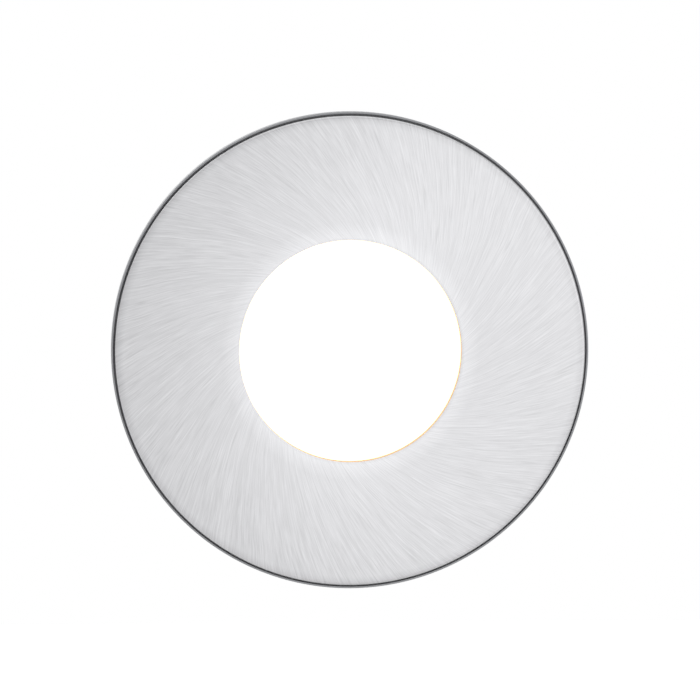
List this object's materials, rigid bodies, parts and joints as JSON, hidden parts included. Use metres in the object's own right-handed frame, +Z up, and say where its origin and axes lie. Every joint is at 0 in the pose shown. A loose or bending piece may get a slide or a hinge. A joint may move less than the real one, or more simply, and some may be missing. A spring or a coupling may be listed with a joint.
{
  "type": "recessed light",
  "caption": "Round recessed light with a brushed cover ring, opal lens, sprung clips, finned heat sink and a wiring box with a hinged lid.",
  "frame": {"origin": "centre of the panel cut-out, on the surface that the light is let into", "axes": "-Y the way the light shines, +Y into the ceiling or wall, +Z up as pictured"},
  "size_m": [0.085, 0.0672, 0.085],
  "materials": {
    "brushed_bezel": "brushed in fine curved strokes, satin",
    "grey_flange": "mid-grey powder coat on die-cast aluminium",
    "foam_gasket": "closed-cell foam",
    "nickel_magnet": "nickel plated",
    "opal_lens": "opal, lit from behind",
    "silicone_seal": "translucent white silicone",
    "white_reflector": "white, highly reflecting",
    "led_phosphor": "yellow phosphor in silicone",
    "led_laminate": "white solder mask on aluminium",
    "thermal_pad": "soft filled silicone sheet",
    "cast_aluminium": "die-cast, as cast",
    "zinc_steel": "bright zinc plated",
    "spring_steel": "drawn spring wire",
    "black_rubber": "moulded, matt",
    "grey_plastic": "moulded, fine texture",
    "circuit_board": "green solder mask",
    "ferrite": "sintered, with tape",
    "capacitor_sleeve": "shrunk sleeve",
    "terminal_plastic": "moulded, natural white",
    "lead_sleeve": "silicone lead"
  },
  "bodies": {
    "housing": {"carrier_flange": "grey_flange", "panel_gasket": "foam_gasket", "bezel_magnet_1": "nickel_magnet", "bezel_magnet_2": "nickel_magnet", "bezel_magnet_3": "nickel_magnet", "housing_screw_1": "zinc_steel", "housing_screw_2": "zinc_steel", "housing_screw_3": "zinc_steel", "diffuser_lens": "opal_lens", "lens_gasket": "silicone_seal", "reflector_cup": "white_reflector", "led_holder": "white_reflector", "led_chip": "led_phosphor", "led_board": "led_laminate", "thermal_pad": "thermal_pad", "holder_screw_1": "zinc_steel", "holder_screw_2": "zinc_steel", "heat_sink": "cast_aluminium", "clip_bracket_right": "zinc_steel", "clip_pin_right": "zinc_steel", "clip_spring_right": "spring_steel", "bracket_screw_right_1": "zinc_steel", "bracket_screw_right_2": "zinc_steel", "clip_bracket_left": "zinc_steel", "clip_pin_left": "zinc_steel", "clip_spring_left": "spring_steel", "bracket_screw_left_1": "zinc_steel", "bracket_screw_left_2": "zinc_steel", "standoff_1": "zinc_steel", "standoff_screw_1": "zinc_steel", "terminal_screw_1": "zinc_steel", "standoff_2": "zinc_steel", "standoff_screw_2": "zinc_steel", "terminal_screw_2": "zinc_steel", "standoff_3": "zinc_steel", "standoff_screw_3": "zinc_steel", "terminal_screw_3": "zinc_steel", "driver_box": "grey_plastic", "lid_pin": "zinc_steel", "driver_board": "circuit_board", "board_screw_1": "zinc_steel", "board_screw_2": "zinc_steel", "driver_transformer": "ferrite", "driver_capacitor": "capacitor_sleeve", "terminal_block": "terminal_plastic", "cable_gland": "grey_plastic", "gland_nut": "grey_plastic", "gland_cap": "grey_plastic", "gland_seal": "black_rubber", "led_lead": "lead_sleeve", "lead_grommet": "black_rubber"},
    "bezel": {"front_bezel": "brushed_bezel"},
    "right_clip": {"clip_arm_right": "zinc_steel", "clip_sleeve_right": "black_rubber"},
    "left_clip": {"clip_arm_left": "zinc_steel", "clip_sleeve_left": "black_rubber"},
    "wiring_lid": {"box_lid": "grey_plastic"}
  },
  "joints": [
    {"name": "bezel_pull", "type": "slide", "parent": "housing", "child": "bezel", "axis": [0, -1, 0], "range_m": [0, 0.012], "stiffness_N_per_m": 40, "springref_m": -0.1},
    {"name": "right_clip_swing", "type": "hinge", "parent": "housing", "child": "right_clip", "pos_m": [0.0344, 0.024, 0], "axis": [0, 0, 1], "range_deg": [0, 165], "stiffness_Nm_per_rad": 0.03, "springref_deg": -114.59, "deforming": ["clip_spring_right"]},
    {"name": "left_clip_swing", "type": "hinge", "parent": "housing", "child": "left_clip", "pos_m": [-0.0344, 0.024, 0], "axis": [0, 0, -1], "range_deg": [0, 165], "stiffness_Nm_per_rad": 0.03, "springref_deg": -114.59, "deforming": ["clip_spring_left"]},
    {"name": "lid_hinge", "type": "hinge", "parent": "housing", "child": "wiring_lid", "pos_m": [0, 0.06015, 0.0207], "axis": [1, 0, 0], "range_deg": [0, 110]}
  ]
}
